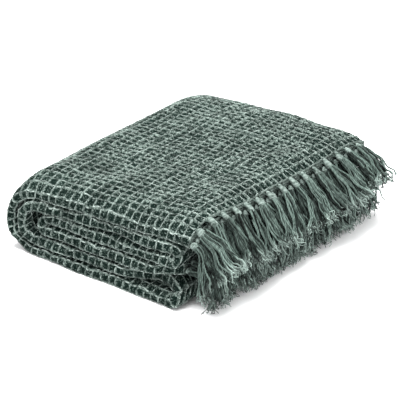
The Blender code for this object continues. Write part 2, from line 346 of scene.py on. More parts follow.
def times(tree, a, b, clamp=False):
    return maths(tree, "MULTIPLY", a, b, clamp)


def mixColour(tree, factor, a, b, blend="MIX"):
    inputs = {0: factor, 6: a, 7: b}  # where a mix takes its factor and its colours
    return node(tree, "ShaderNodeMix", inputs, data_type="RGBA", blend_type=blend).outputs[2]


def giveOut(group, outs, **values):
    for key, value in values.items():
        group.links.new(value, outs[key])


cottonNoise = {"slow": {"Scale": 26.0, "Detail": 3.0}, "slowShare": 0.7,
               "fast": {"Detail": 4.0, "Roughness": 0.65}, "fastShare": 1.3}


# Uneven dyeing and loose fibre of cotton: a shade to multiply with and a fine height.
def makeCottonGroup():
    group, ins, outs = newGroup("cottonUneven", {"Scale": 400.0, "Unevenness": 0.3}, ("Shade", "Fibre"))
    place = {"Vector": node(group, "ShaderNodeTexCoord").outputs["Object"]}
    slow = node(group, "ShaderNodeTexNoise", place | cottonNoise["slow"], noise_dimensions="3D")
    fast = place | cottonNoise["fast"] | {"Scale": ins["Scale"]}
    fast = node(group, "ShaderNodeTexNoise", fast, noise_dimensions="3D")
    both = plus(group, times(group, slow.outputs["Fac"], cottonNoise["slowShare"]),
                times(group, fast.outputs["Fac"], cottonNoise["fastShare"]))
    centred = minus(group, both, 1.0)
    shade = plus(group, times(group, centred, ins["Unevenness"]), 1.0)
    giveOut(group, outs, Shade=shade, Fibre=fast.outputs["Fac"])
    return group


pocketNoise = {"Scale": 3.3, "Detail": 2.0}  # the ragged outline of the pockets


# Plain weave threads inside each cell, worked out from the cell coordinates of the cloth.
def makeThreadGroup():
    group, ins, outs = newGroup(
        "groundThreads", {"Cell": None, "Threads": 7.0, "Rim": 0.1, "Wall": 0.1, "Ragged": 0.05},
        ("Thread", "Rim", "Pocket"))
    split = node(group, "ShaderNodeSeparateXYZ", {0: ins["Cell"]})
    waves, edges = [], []
    for axis in (0, 1):
        counted = times(group, split.outputs[axis], ins["Threads"])
        waves.append(maths(group, "SINE", times(group, counted, 2 * pi)))
        inCell = maths(group, "FRACT", split.outputs[axis])
        edges.append(maths(group, "ABSOLUTE", minus(group, inCell, 0.5)))
    overUnder = times(group, waves[0], waves[1])
    thread = plus(group, times(group, overUnder, 0.5), 0.5, clamp=True)
    nearEdge = maths(group, "MAXIMUM", edges[0], edges[1])
    fromEdge = minus(group, 0.5, nearEdge)
    rim = minus(group, 1.0, maths(group, "DIVIDE", fromEdge, ins["Rim"]), clamp=True)
    ragged = {"Vector": ins["Cell"]} | pocketNoise
    ragged = node(group, "ShaderNodeTexNoise", ragged, noise_dimensions="2D")
    centred = minus(group, ragged.outputs["Fac"], 0.5)
    offset = times(group, centred, ins["Ragged"])
    # Pocket: the inside of the cell past its wall, where the ground is painted with its dark dye and the
    # shade of the hollow
    inward = plus(group, minus(group, fromEdge, ins["Wall"]), offset)
    pocket = maths(group, "DIVIDE", inward, ins["Wall"], clamp=True)
    giveOut(group, outs, Thread=thread, Rim=rim, Pocket=pocket)
    return group


# plies of a twisted yarn from its own coordinates: whole part is the yarn's number, the rest goes round it
def makeTwistGroup():
    group, ins, outs = newGroup(
        "yarnTwist", {"Yarn": None, "Plies": 2.0, "Turns": 300.0}, ("Ply", "Own", "Along"))
    split = node(group, "ShaderNodeSeparateXYZ", {0: ins["Yarn"]})
    around = times(group, split.outputs[0], ins["Plies"])
    along = times(group, split.outputs[1], ins["Turns"])
    wound = times(group, plus(group, around, along), 2 * pi)
    ply = plus(group, times(group, maths(group, "SINE", wound), 0.5), 0.5)
    number = maths(group, "FLOOR", split.outputs[0])
    own = node(group, "ShaderNodeTexWhiteNoise", {"W": number}, noise_dimensions="1D")
    giveOut(group, outs, Ply=ply, Own=own.outputs["Value"], Along=split.outputs[1])
    return group


cottonGroup = makeCottonGroup()
threadGroup = makeThreadGroup()
twistGroup = makeTwistGroup()


def placeGroup(tree, group, **values):
    return node(tree, "ShaderNodeGroup", values, node_tree=group)


def newMaterial(name, roughness, specular):
    material = bpy.data.materials.new(name)
    material.use_nodes = True
    shader = material.node_tree.nodes["Principled BSDF"]
    shader.inputs["Roughness"].default_value = roughness
    shader.inputs["Specular IOR Level"].default_value = specular
    return material, material.node_tree, shader


def addBump(tree, shader, height, look):
    inputs = {"Distance": look["bump"], "Strength": look["bumpStrength"], "Height": height}
    bump = node(tree, "ShaderNodeBump", inputs)
    tree.links.new(bump.outputs[0], shader.inputs["Normal"])


# fleck and grain: how sharply the fibre parts light from dark, and where
def groundMaterial():
    # pocket: the ground's dark dye with painted shade of the deep cell hollows; groove: painted shade in
    # the gaps between the threads
    look = {"pocket": (0.004, 0.010, 0.008), "fleck": (0.104, 0.135, 0.120), "ridge": (0.130, 0.166, 0.148),
            "grooveShade": (0.018, 0.030, 0.025), "rim": (0.14, 0.175, 0.158), "unevenness": 1.8,
            "threads": 3.0, "rimWide": 0.06, "rimShare": 0.6, "wall": 0.070, "ragged": 0.20,
            "fibreScale": 560.0, "fleckSharp": 10.0, "fleckFrom": 5.55, "grainSharp": 7.0, "grainFrom": 2.9,
            "roughness": 0.95, "specular": 0.02, "bump": 0.0010, "bumpStrength": 0.8}
    material, tree, shader = newMaterial("groundCotton", look["roughness"], look["specular"])
    uv = node(tree, "ShaderNodeUVMap", uv_map="weave")
    threads = placeGroup(tree, threadGroup, Cell=uv.outputs[0], Threads=look["threads"],
                         Rim=look["rimWide"], Wall=look["wall"], Ragged=look["ragged"])
    cotton = placeGroup(tree, cottonGroup, Scale=look["fibreScale"], Unevenness=look["unevenness"])
    fibre = cotton.outputs["Fibre"]
    # pale flecks of thread in the pockets, which are dark with the ground's dye and with painted shade of
    # the hollows; painted shade in the gaps between the threads of the ridges
    fleck = times(tree, fibre, look["fleckSharp"])
    fleck = minus(tree, fleck, look["fleckFrom"], clamp=True)
    pocketDyeAndShade = mixColour(tree, fleck, look["pocket"], look["fleck"])
    # grain: painted shade in the gaps between the threads, scattered by the fibre noise
    grain = times(tree, fibre, look["grainSharp"])
    grain = minus(tree, grain, look["grainFrom"], clamp=True)
    top = mixColour(tree, grain, look["grooveShade"], look["ridge"])
    body = mixColour(tree, threads.outputs["Pocket"], top, pocketDyeAndShade)
    rim = times(tree, threads.outputs["Rim"], look["rimShare"])
    rimmed = mixColour(tree, rim, body, look["rim"])
    shaded = mixColour(tree, 1.0, rimmed, cotton.outputs["Shade"], "MULTIPLY")
    tree.links.new(shaded, shader.inputs["Base Color"])
    addBump(tree, shader, plus(tree, threads.outputs["Thread"], fibre), look)
    return material


# what every yarn has in common: its surface, how sharp the dark patches and the start of the cut end are
anyYarn = {"roughness": 0.85, "specular": 0.06, "bump": 0.0003, "bumpStrength": 0.6, "plies": 2.0,
           "darkPatchSharp": 7.0, "cutSharp": 60.0, "cutShare": 0.75}


# Twisted yarn: each has a shade of its own and dark patches, and its cut end, if any, is paler: partly
# loose untwisted fibre, partly painted light on the tips.
def yarnMaterial(name, look):
    material, tree, shader = newMaterial(name, anyYarn["roughness"], anyYarn["specular"])
    uv = node(tree, "ShaderNodeUVMap", uv_map="yarn")
    twist = placeGroup(tree, twistGroup, Yarn=uv.outputs[0], Plies=anyYarn["plies"], Turns=look["turns"])
    cotton = placeGroup(tree, cottonGroup, Scale=look["patches"], Unevenness=look["unevenness"])
    # the groove colour is painted shade in the twist between the plies, the ply colour the yarn's own
    body = mixColour(tree, twist.outputs["Ply"], look["grooveShade"], look["ply"])
    own = times(tree, minus(tree, twist.outputs["Own"], 0.5), look["ownShade"])
    # darker in patches where the cotton noise is low
    whole = minus(tree, cotton.outputs["Fibre"], look["darkPatchBelow"])
    whole = times(tree, whole, anyYarn["darkPatchSharp"], clamp=True)
    body = mixColour(tree, whole, look["darkPatch"], body)
    shade = plus(tree, cotton.outputs["Shade"], own)
    if "paleFrom" in look:
        # the paler end: partly untwisted fibre, partly painted light where the tips catch it
        cut = minus(tree, twist.outputs["Along"], look["paleFrom"])
        cut = times(tree, cut, anyYarn["cutSharp"], clamp=True)
        body = mixColour(tree, times(tree, cut, anyYarn["cutShare"]), body, look["cutEndPaleAndLit"])
    shaded = mixColour(tree, 1.0, body, shade, "MULTIPLY")
    tree.links.new(shaded, shader.inputs["Base Color"])
    addBump(tree, shader, plus(tree, twist.outputs["Ply"], cotton.outputs["Fibre"]), anyYarn)
    return material


groundCotton = groundMaterial()
# in each yarn, groove is painted shade between the plies
paleYarn = yarnMaterial("paleYarn", {
    "grooveShade": (0.162, 0.202, 0.184), "ply": (0.415, 0.482, 0.450),
    "darkPatch": (0.052, 0.072, 0.064), "darkPatchBelow": 0.43,
    "turns": 420.0, "patches": 250.0, "unevenness": 1.2, "ownShade": 0.15})
fringeYarn = yarnMaterial("fringeYarn", {
    "grooveShade": (0.034, 0.050, 0.043), "ply": (0.071, 0.096, 0.085),
    "darkPatch": (0.030, 0.045, 0.038), "darkPatchBelow": 0.27,
    "turns": 190.0, "patches": 180.0, "unevenness": 0.4, "ownShade": 1.9, "paleFrom": 0.044,
    # cut end colour: paler loose fibre with painted light on the tips
    "cutEndPaleAndLit": (0.20, 0.25, 0.228)})
knotYarn = yarnMaterial("knotYarn", {
    "grooveShade": (0.105, 0.136, 0.123), "ply": (0.175, 0.216, 0.198),
    "darkPatch": (0.05, 0.07, 0.06), "darkPatchBelow": 0.36,
    "turns": 500.0, "patches": 260.0, "unevenness": 0.6, "ownShade": 0.4})


# the woven sheet
cellU = weave["cellAcross"]
cellV = clothLong / weave["cellsAlong"]
foldMiddle = (uMarks[1] + uMarks[2]) / 2
phaseU = (foldMiddle - cellU / 2) % cellU


def cellCoords(u, v):
    return (u - phaseU) / cellU, v / cellV


# How deep the ground lies between the yarns of its cell.
def pocketDepth(u, v):
    cu, cv = cellCoords(u, v)
    fromRidge = min((0.5 - abs(cu % 1 - 0.5)) * cellU, (0.5 - abs(cv % 1 - 0.5)) * cellV)
    share = min(1.0, fromRidge / weave["ridgeHalf"])
    own = weave["pocketLeast"] + weave["pocketVaries"] * noise.cell((floor(cu) + 0.5, floor(cv) + 0.5, 0.5))
    return weave["pocket"] * own * share * share * (3 - 2 * share)


# where the mesh is coarser, and how clear its lines stay of the edges and of the small folds
meshing = {"hiddenEvery": 6, "edgeClear": 0.003, "foldClear": 0.002, "foldSteps": 4, "hollowReach": 0.030,
           "roundFar": 1.5}


# Lines of the mesh across and along the cloth: one for each yarn that shows, fewer where hidden.
def latticeLines():
    edge, clear, steps = meshing["edgeClear"], meshing["foldClear"], meshing["foldSteps"]
    us = [0.0]
    for i in range(int((clothWide - phaseU) / cellU) + 1):
        u = phaseU + i * cellU
        hidden = uMarks[4] + 2 * cellU < u < uMarks[5] - cellU
        hidden = hidden or uMarks[6] + cellU < u < clothWide - 2 * cellU
        if hidden and i % meshing["hiddenEvery"]:
            continue
        if edge < u < clothWide - edge:
            us.append(u)
    us.append(clothWide)
    for mark in (3, 5):  # the small folds need lines of their own
        arc = uMarks[mark + 1] - uMarks[mark]
        extra = [uMarks[mark] + arc * k / steps for k in range(steps + 1)]
        us = [u for u in us if u < extra[0] - clear or u > extra[-1] + clear] + extra
    us.sort()
    vs = [j * cellV for j in range(weave["cellsAlong"])] + [clothLong]
    return us, vs


# Steps of a block across and along: four where its pocket shows, one or two where it is hidden.
def blockDetail(outer, u, v):
    zone = stretchAt(vMarks, v)
    if outer:
        around = meshing["roundFar"] * cellU
        nearFold = uMarks[1] - cellU < u < uMarks[2] + cellU
        topSheet, underIt = u < uMarks[1], uMarks[2] < u < uMarks[3]
        hollow = underIt and abs(v - (vMarks[7] + vMarks[8]) / 2) < meshing["hollowReach"]
        if nearFold or hollow or topSheet and zone in (0, 1, 3):
            return 4, 4
        if topSheet and zone == 2 or uMarks[3] - around < u < uMarks[4] + around:
            return 2, 2
    if u < cellU or u > clothWide - cellU:
        return 2, 2
    return (1, 2) if zone % 2 else (1, 1)  # every second stretch of the path is a bend


def weaveSheet():
    us, vs = latticeLines()
    rows, columns = len(vs) - 1, len(us) - 1
    detail = {}
    for outer in (True, False):
        for i in range(columns):
            for j in range(rows):
                detail[outer, i, j] = blockDetail(outer, (us[i] + us[i + 1]) / 2, (vs[j] + vs[j + 1]) / 2)

    # steps of the line under row j (way 0) or left of column i (way 1): those of its finest neighbour
    def stepsOn(way, outer, i, j):
        blocks = ((i, j), (i - way, j - 1 + way))
        onEdge = (i in (0, columns)) if way else (j in (0, rows))
        sides = (True, False) if onEdge else (outer,)
        return max(detail.get((side, *block), (1, 1))[way] for side in sides for block in blocks)

    mesh = bmesh.new()
    cells = mesh.loops.layers.uv.new("weave")
    made, coords = {}, {}

    def corner(outer, a, b):
        key = (outer, a, b)
        if key not in made:
            i, j = min(a // 4, columns - 1), min(b // 4, rows - 1)
            u = us[i] + (us[i + 1] - us[i]) * blockShares[a - 4 * i]
            v = vs[j] + (vs[j + 1] - vs[j]) * blockShares[b - 4 * j]
            lift = throw["sheet"] / 2
            lift = lift + weave["ridge"] - pocketDepth(u, v) if outer else -lift
            vert = mesh.verts.new(onCloth(u, v, lift))
            made[key] = vert
            coords[vert] = cellCoords(u, v)
        return made[key]

    # corners from one point in one direction, with that many steps to a cell, without the last one
    def walk(outer, a, b, wayA, wayB, size, steps):
        return [corner(outer, a + wayA * k, b + wayB * k) for k in range(0, size, 4 // steps)]

    for (outer, i, j), (across, along) in detail.items():
        wide, long = 4 // across, 4 // along
        for p in range(across):
            for q in range(along):
                a0, b0 = 4 * i + p * wide, 4 * j + q * long
                a1, b1 = a0 + wide, b0 + long
                low = stepsOn(0, outer, i, j) if q == 0 else across
                high = stepsOn(0, outer, i, j + 1) if q == along - 1 else across
                left = stepsOn(1, outer, i, j) if p == 0 else along
                right = stepsOn(1, outer, i + 1, j) if p == across - 1 else along
                ring = walk(outer, a0, b0, 1, 0, wide, low)
                ring += walk(outer, a1, b0, 0, 1, long, right)
                ring += walk(outer, a1, b1, -1, 0, wide, high)
                ring += walk(outer, a0, b1, 0, -1, long, left)
                mesh.faces.new(ring if outer else ring[::-1])
    # the rim joins the two sides along the cloth's four edges
    for edge, way in ((0, 0), (0, 1), (1, 0), (1, 1)):
        for n in range(rows if way else columns):
            i, j = (columns * edge, n) if way else (n, rows * edge)
            step = 4 // stepsOn(way, True, i, j)
            for k in range(0, 4, step):
                first = (4 * i, 4 * j + k) if way else (4 * i + k, 4 * j)
                second = (first[0] + step * (1 - way), first[1] + step * way)
                mesh.faces.new((corner(True, *first), corner(True, *second),
                                corner(False, *second), corner(False, *first)))
    for face in mesh.faces:
        for loop in face.loops:
            loop[cells].uv = coords[loop.vert]
    return meshObject(mesh, "wovenThrow", groundCotton)


def putInScene(name, data):
    made = bpy.data.objects.new(name, data)
    bpy.context.scene.collection.objects.link(made)
    return made


def meshObject(mesh, name, material):
    bmesh.ops.recalc_face_normals(mesh, faces=mesh.faces)
    data = bpy.data.meshes.new(name)
    mesh.to_mesh(data)
    mesh.free()
    data.materials.append(material)
    data.shade_smooth()
    print(name, "has", sum(len(p.vertices) - 2 for p in data.polygons), "triangles")
    return putInScene(name, data)


wholeTurn = 0.999  # once round a yarn, just short of the number of the next yarn


# tubes: every yarn and strand is one, in a mesh that keeps the coordinates of its yarns
def newYarns():
    mesh = bmesh.new()
    return mesh, mesh.loops.layers.uv.new("yarn")


# Joins rings of points into a closed tube, whose coordinates go round it and along it.
def addTube(yarns, rings, lengths, number):
    mesh, layer = yarns
    sides = len(rings[0])
    verts = [[mesh.verts.new(point) for point in ring] for ring in rings]
    for k in range(len(verts) - 1):
        for s in range(sides):
            t = (s + 1) % sides
            face = mesh.faces.new((verts[k][s], verts[k][t], verts[k + 1][t], verts[k + 1][s]))
            corners = ((s, k), (s + 1, k), (s + 1, k + 1), (s, k + 1))
            for loop, (around, along) in zip(face.loops, corners):
                loop[layer].uv = (number + around / sides * wholeTurn, lengths[along])
    mesh.faces.new(verts[0][::-1])
    mesh.faces.new(verts[-1])


# the pale yarns that draw the grid
gridYarn = {
    "radius": 0.00043,
    "steps": 4,  # for each cell
    "bow": 0.0009,  # out of line within a cell
    "swayKept": 0.75, "swayNew": 0.4,
    "sunk": 0.25, "weaves": 0.6,  # shares of the radius: how high it lies, how far it goes over and under
    "profile": ((-1, 0), (0, 1), (1, 0)),
    "seed": 7,
    "numbers": 500,  # the lengthwise yarns are numbered from here
    # how far the yarns run round the folds (cells) and short of or past the bends (metres)
    "roundFar": 0.7, "roundNear": 1.1, "shortOfTop": 0.004, "shortOfLow": 0.002, "pastHigh": 0.006,
}


# Where a yarn shows: spans along v for a yarn at u, or along u for a yarn at v.
def visibleSpans(fixed, along):
    roundFar, roundNear = gridYarn["roundFar"] * cellU, gridYarn["roundNear"] * cellU
    far = (uMarks[3] - roundFar, uMarks[4] + roundFar)
    near = (uMarks[1] - roundNear, uMarks[2] + roundNear)
    topLong = (0.0, vMarks[2] - gridYarn["shortOfTop"])
    lowFoldLong = (vMarks[3] + gridYarn["shortOfLow"], vMarks[4] - gridYarn["shortOfLow"])
    highFoldLong = (vMarks[7] - gridYarn["pastHigh"], vMarks[8] + gridYarn["pastHigh"])
    if along:
        if near[0] <= fixed <= near[1] or far[0] <= fixed <= far[1]:
            return [(0.0, clothLong)]
        if fixed < uMarks[1]:
            return [topLong, lowFoldLong]
        return [highFoldLong] if uMarks[2] < fixed < uMarks[3] else []
    spans = [near, far]
    if fixed <= topLong[1] or lowFoldLong[0] <= fixed <= lowFoldLong[1]:
        spans[0] = (0.0, near[1])
    if highFoldLong[0] <= fixed <= highFoldLong[1]:
        spans = [(spans[0][0], far[1])]
    return spans


# One yarn of the grid, over and under those that cross it.
def layYarn(yarns, index, fixed, along, start, end, dice):
    look = gridYarn
    radius = look["radius"]
    pitch = cellV if along else cellU
    steps = max(2, int(round((end - start) / pitch * look["steps"])))
    rings, lengths = [], []
    sway, bow, cell = 0.0, 0.0, None
    for k in range(steps + 1):
        place = start + (end - start) * k / steps
        count = (place if along else place - phaseU) / pitch
        if floor(count + 0.01) != cell:  # just short of the next cell counts as in it
            cell = floor(count + 0.01)
            bow = dice.uniform(-1, 1) * look["bow"]
        crossing = cos(pi * (count + index))
        crossing = crossing if along else -crossing
        sway = look["swayKept"] * sway + dice.uniform(-1, 1) * look["bow"] * look["swayNew"]
        side = fixed + sway + bow * abs(sin(pi * count))
        lift = throw["sheet"] / 2 + weave["ridge"] + radius * (look["sunk"] + look["weaves"] * crossing)
        ring = []
        for out, rise in look["profile"]:
            u, v = (side + out * radius, place) if along else (place, side + out * radius)
            u = min(max(u, 0.0), clothWide)
            v = min(max(v, 0.0), clothLong)
            ring.append(onCloth(u, v, lift + rise * radius))
        rings.append(ring)
        lengths.append(place)
    addTube(yarns, rings, lengths, index + gridYarn["numbers"] * along)


def gridYarns(along):
    dice = random.Random(gridYarn["seed"] + along)
    yarns = newYarns()
    if along:
        indices = range(int((clothWide - phaseU) / cellU) + 1)
    else:
        indices = range(weave["cellsAlong"] + 1)
    for index in indices:
        fixed = phaseU + index * cellU if along else index * cellV
        for start, end in visibleSpans(fixed, along):
            layYarn(yarns, index, fixed, along, start, end, dice)
    return meshObject(yarns[0], "lengthwiseYarns" if along else "crosswiseYarns", paleYarn)


# the fringe: its locks, from the cloth's edge outwards
fringe = {
    "locksInRow": 15, "pitch": 0.0210, "firstY": 0.0116, "uneven": 0.0009,
    "outOfCloth": 0.0035,  # where a lock begins, from the cloth's edge
    "onFloor": 0.0006,  # no point of it lies lower
    "levelledBy": 4,  # a lock reaches its level after this part of its length
    "foldLevel": 0.0034, "foldReach": 0.92,  # of the lock on the near fold
    "knotAt": 0.030,
    "turnSpread": 6.0,
    # how much less or more the locks turn down along the fringe: place, degrees
    "turnAlong": ((0.0, -6.0), (0.06, -3.0), (0.13, 3.0), (0.19, 0.0), (0.25, -7.0), (0.40, -8.0)),
    "tailLonger": 0.0025, "tailTurn": 1.7,
    "farShorter": 0.009, "farArches": (-27, 48), "farStart": 0.80,
    "numbers": 400,  # strands are numbered up to this, for shades of their own
    "seed": 21,
}
# how one lock differs from the next, and its clumps of strands from each other
lockLook = {
    "sway": 0.0052, "bow": 0.0030, "lowLooser": 1.5,
    "longest": 1.03, "shorter": 0.10, "open": (0.82, 1.12), "farOpen": 0.2, "waves": (13, 19),
    "onFold": {"sway": 0.001, "bow": 0.0, "open": 0.72},  # that one hangs close and straight
    "clumps": 7, "aside": 0.08, "over": 0.8, "curlAside": 0.8, "curlOver": 0.6, "tips": (0.90, 1.02),
}
# one strand: how it differs from its clump, and its form from the knot to the tip
strand = {
    "radius": 0.00090, "thickness": (0.85, 1.2), "reach": (0.94, 1.03), "steps": 15, "sides": 5,
    "fromKnot": 0.02, "aside": 0.08, "over": 0.22, "curls": 0.35, "turns": 0.8,
    "stray": 0.15, "strayWidth": 1.8, "tipThin": 0.5,
    "neck": 0.0038, "flare": 0.0112, "flarePower": 0.8, "thin": 0.0022, "thick": 0.0034, "swayPower": 1.4,
    "curl": 0.023, "curlFrom": 0.62, "curlPower": 1.5, "curlOver": 0.8,
    "wave": 0.0011, "waveAtKnot": 0.4, "waveGrows": 1.3, "waveOver": 0.6,
    "crimp": 0.0011, "crimpSize": (0.4, 1.3), "crimpFrom": 0.70, "crimpTurn": 0.24, "crimpFade": 0.12,
}
# the loose plies at a cut end
fray = {"ends": 2, "long": 0.007, "longVaries": (0.5, 1.2), "radius": 0.00042, "steps": 4, "sides": 3,
        "spread": 0.35, "bend": 0.0022, "bendAtStart": 0.4, "overlap": 0.002,
        "startLength": 0.06, "stepLength": 0.002}
knot = {"wide": 0.0035, "deep": 0.0035, "long": 0.112, "size": (0.88, 1.12), "around": 10, "over": 12,
        "wraps": 2.5, "wrapSize": 0.06, "tilt": 0.6, "tiltBy": 0.002, "closed": 0.93, "yarnLength": 0.009}
# the warp ends from the cloth's edge to the knot
roots = {"count": 6, "onFold": 4, "apart": 0.0031, "uneven": 0.0009, "foldInward": 0.0005, "level": 0.0004,
         "inCloth": 0.0015, "gather": 0.25, "intoKnot": 0.001, "arch": 0.0004,
         "radius": 0.0005, "steps": 4, "sides": 3, "stepLength": 0.002}
# the line of a lock from its root: lengths and how far each turns down, in degrees
upperLine = ((0.003, 35), (0.039, 18), (0.018, 0))
middleLine = ((0.003, 44), (0.038, 16), (0.018, 0))
lowerLine = ((0.003, 48), (0.038, 14), (0.018, 0))
lowestLine = ((0.003, 54), (0.036, 10), (0.018, 0))
foldLine = ((0.003, 20), (0.012, 58), (0.058, 0))
# the low locks run out over the fold below them and hang down from there to a foot on the floor
low = {"out": 0.018, "turn": 78, "radius": 0.014, "footRadius": 0.006, "foot": 0.003, "level": 0.0034,
       "half": 0.0029}
lowTurned = radians(low["turn"])
lowDrop = layerHeight(4) - low["level"] - low["half"]
lowHang = (lowDrop - (low["radius"] + low["footRadius"]) * (1 - cos(lowTurned))) / sin(lowTurned)
lowLine = ((low["out"], 0), (low["radius"] * lowTurned, low["turn"]), (lowHang, 0),
           (low["footRadius"] * lowTurned, -low["turn"]), (low["foot"], 0))
# name, layer of the pile, where the cloth ends, then for the four sheets from the top one down:
# line and level of its locks, strands in each, share of the full length, shift along the fringe
fringeEnds = (
    ("top", 1, endX, (
        (upperLine, 0.0050, 20, 0.97, 0.0), (middleLine, 0.0000, 15, 0.96, 0.0045),
        (lowerLine, -0.0034, 10, 0.93, -0.0020), (lowestLine, -0.0064, 8, 0.90, 0.0025))),
    ("low", 4, endX - throw["innerEndBack"], (
        (lowLine, 0.0036, 15, 0.95, 0.0), (lowLine, 0.0014, 12, 0.90, 0.0045),
        (lowLine, -0.0014, 11, 0.92, -0.0030), (lowLine, -0.0034, 10, 0.86, 0.0020))),
)


def followLine(line, share):
    left = share * sum(length for length, turn in line)
    x = z = angle = 0.0
    for length, turn in line:
        step = min(left, length)
        turned = radians(turn) * step / length
        if turned:  # this piece is an arc
            radius = length / radians(turn)
            x += radius * (sin(angle + turned) - sin(angle))
            z -= radius * (cos(angle) - cos(angle + turned))
        else:
            x += cos(angle) * step
            z -= sin(angle) * step
        angle += turned
        left -= step
    if left > 0:
        x += cos(angle) * left
        z -= sin(angle) * left
    return x, z, angle


# how far into the far corner a lock is, from 0 to 1
def farShare(y):
    return max(y / pileDepth - fringe["farStart"], 0) / (1 - fringe["farStart"])


def variedLine(line, y, spread):
    slot, far = y / fringe["pitch"], farShare(y)
    longer = fringe["tailLonger"] * sin(fringe["tailTurn"] * slot + 1) - fringe["farShorter"] * far
    arches = fringe["farArches"] if line[0][1] else (0,) * len(line)
    turned = tuple((length, turn + spread + arch * far if turn else 0)
                   for (length, turn), arch in zip(line[:-1], arches))
    return turned + ((line[-1][0] + longer, 0),)


def turnAt(y):
    table = fringe["turnAlong"]
    for (fromY, a), (toY, b) in zip(table, table[1:]):
        if y <= toY:
            return a + (b - a) * max(0.0, y - fromY) / (toY - fromY)
    return table[-1][1]


# Every lock of one end: where it is along the fringe, its height in the strip, its level further out,
# its line, how many strands it has and its share of the full length.
def lockList(end, dice):
    name, layer, _, sheets = end
    hanging = name == "low"
    locks = []
    for sheet, rise in zip(sheets, (outerFold, innerFold, -innerFold, -outerFold)):
        line, level, strands, reach, shift = sheet
        for i in range(fringe["locksInRow"]):
            y = fringe["firstY"] + shift + i * fringe["pitch"] + dice.gauss(0, fringe["uneven"])
            spread = 0 if hanging else turnAt(y) + dice.uniform(-1, 1) * fringe["turnSpread"]
            locks.append((y, rise, level, variedLine(line, y, spread), strands, reach))
    nearY = nearFoldY - outerFold
    nearLine = foldLine if layer == 1 else lowLine
    locks.append((nearY, 0.0, fringe["foldLevel"], variedLine(nearLine, nearY, 0), sheets[0][2],
                  fringe["foldReach"]))
    return locks


# A point of a lock: aside along the fringe and over it, measured from its middle line.
def lockPoint(end, lock, share, aside, over):
    y, rise, level, line = lock[:4]
    x, z, angle = followLine(line, share)
    up = rise + (level - rise) * min(1, share * fringe["levelledBy"]) + over
    rootX, rootZ = end[2] + fringe["outOfCloth"], layerHeight(end[1])
    x += rootX + sin(angle) * up
    z += rootZ + cos(angle) * up
    place = settle(x, y + aside + drawnIn(rootX, y, rootZ), z)
    place.z = max(place.z, fringe["onFloor"])
    return place


def tubeRing(middle, way, radius, sides):
    side = way.cross(Vector((0, 0, 1)))
    side = side.normalized() if side.length > 0.05 else Vector((0, 1, 0))  # when the way is upright
    up = side.cross(way)
    return [middle + (side * cos(2 * pi * k / sides) + up * sin(2 * pi * k / sides)) * radius
            for k in range(sides)]


# A tube along a row of points: each ring stands square to the way from one neighbour to the other.
def followTube(yarns, middles, radii, sides, lengths, number):
    last = len(middles) - 1
    rings = []
    for k, (middle, radius) in enumerate(zip(middles, radii)):
        way = (middles[min(k + 1, last)] - middles[max(k - 1, 0)]).normalized()
        rings.append(tubeRing(middle, way, radius, sides))
    addTube(yarns, rings, lengths, number)


def strandNumber(dice):
    return dice.randrange(1, fringe["numbers"])


# one strand of a lock, from the knot to its own tip
def addStrand(yarns, dice, end, lock, own, clump, place):
    s = strand
    stray = s["strayWidth"] if dice.random() < s["stray"] else 1.0
    a = (place, stray * (clump["a"] + dice.gauss(0, s["aside"])))
    b = (dice.uniform(-1, 1), stray * (clump["b"] + dice.gauss(0, s["over"])))
    curlA = clump["curlA"] + dice.gauss(0, s["curls"])
    curlB = clump["curlB"] + dice.gauss(0, s["curls"])
    turn = clump["turn"] + dice.gauss(0, s["turns"])
    reach = own["tip"] * clump["tip"] * dice.uniform(*s["reach"])
    radius = s["radius"] * dice.uniform(*s["thickness"])
    crimp = s["crimp"] * dice.uniform(*s["crimpSize"])
    first, count = fringe["knotAt"] + s["fromKnot"], s["steps"]
    middles = []
    for k in range(count + 1):
        share = first + (reach - first) * k / count
        opened = max(0.0, (share - first) / (1 - first))
        wide = (s["neck"] + (s["flare"] - s["neck"]) * opened ** s["flarePower"]) * own["open"]
        deep = s["thin"] + (s["thick"] - s["thin"]) * opened
        loose = max(0.0, share - s["curlFrom"]) ** s["curlPower"]
        wave = s["wave"] * (s["waveAtKnot"] + s["waveGrows"] * opened)
        waved = own["waves"] * share + turn
        wound = 2 * pi * (share - s["crimpFrom"]) / s["crimpTurn"] + turn
        curled = crimp * min(1.0, max(0.0, (share - s["crimpFrom"]) / s["crimpFade"]))
        aside = (a[0] + (a[1] - a[0]) * opened) * wide
        aside += own["sway"] * share ** s["swayPower"] + own["bow"] * sin(pi * share)
        aside += curlA * s["curl"] * loose + wave * sin(waved) + curled * sin(wound)
        over = (b[0] + (b[1] - b[0]) * opened) * deep + s["curlOver"] * curlB * s["curl"] * loose
        over += s["waveOver"] * wave * cos(waved) + curled * cos(wound)
        middles.append(lockPoint(end, lock, share, aside, over))
    lengths = [0.0]
    for before, after in zip(middles, middles[1:]):
        lengths.append(lengths[-1] + (after - before).length)
    radii = [radius] * count + [radius * s["tipThin"]]
    number = strandNumber(dice)
    followTube(yarns, middles, radii, s["sides"], lengths, number)
    if lock[1] < 0:  # the lower sheets are hidden: their tips are left plain
        return
    for _ in range(fray["ends"]):
        addFray(yarns, dice, middles, number)


def addFray(yarns, dice, middles, number):
    steps = fray["steps"]
    way = (middles[-1] - middles[-3]).normalized()
    way += Vector([dice.gauss(0, fray["spread"]) for _ in range(3)])
    bend = Vector([dice.gauss(0, 1) for _ in range(3)]) * fray["bend"]
    long = fray["long"] * dice.uniform(*fray["longVaries"])
    start = middles[-1] - way * fray["overlap"]
    points, lengths = [], []
    for k in range(steps + 1):
        point = start + way * long * k / steps
        point += bend * sin(pi * k / steps) * (fray["bendAtStart"] + k / steps)
        point.z = max(point.z, fringe["onFloor"])
        points.append(point)
        lengths.append(fray["startLength"] + fray["stepLength"] * k)
    followTube(yarns, points, [fray["radius"]] * (steps + 1), fray["sides"], lengths, number)


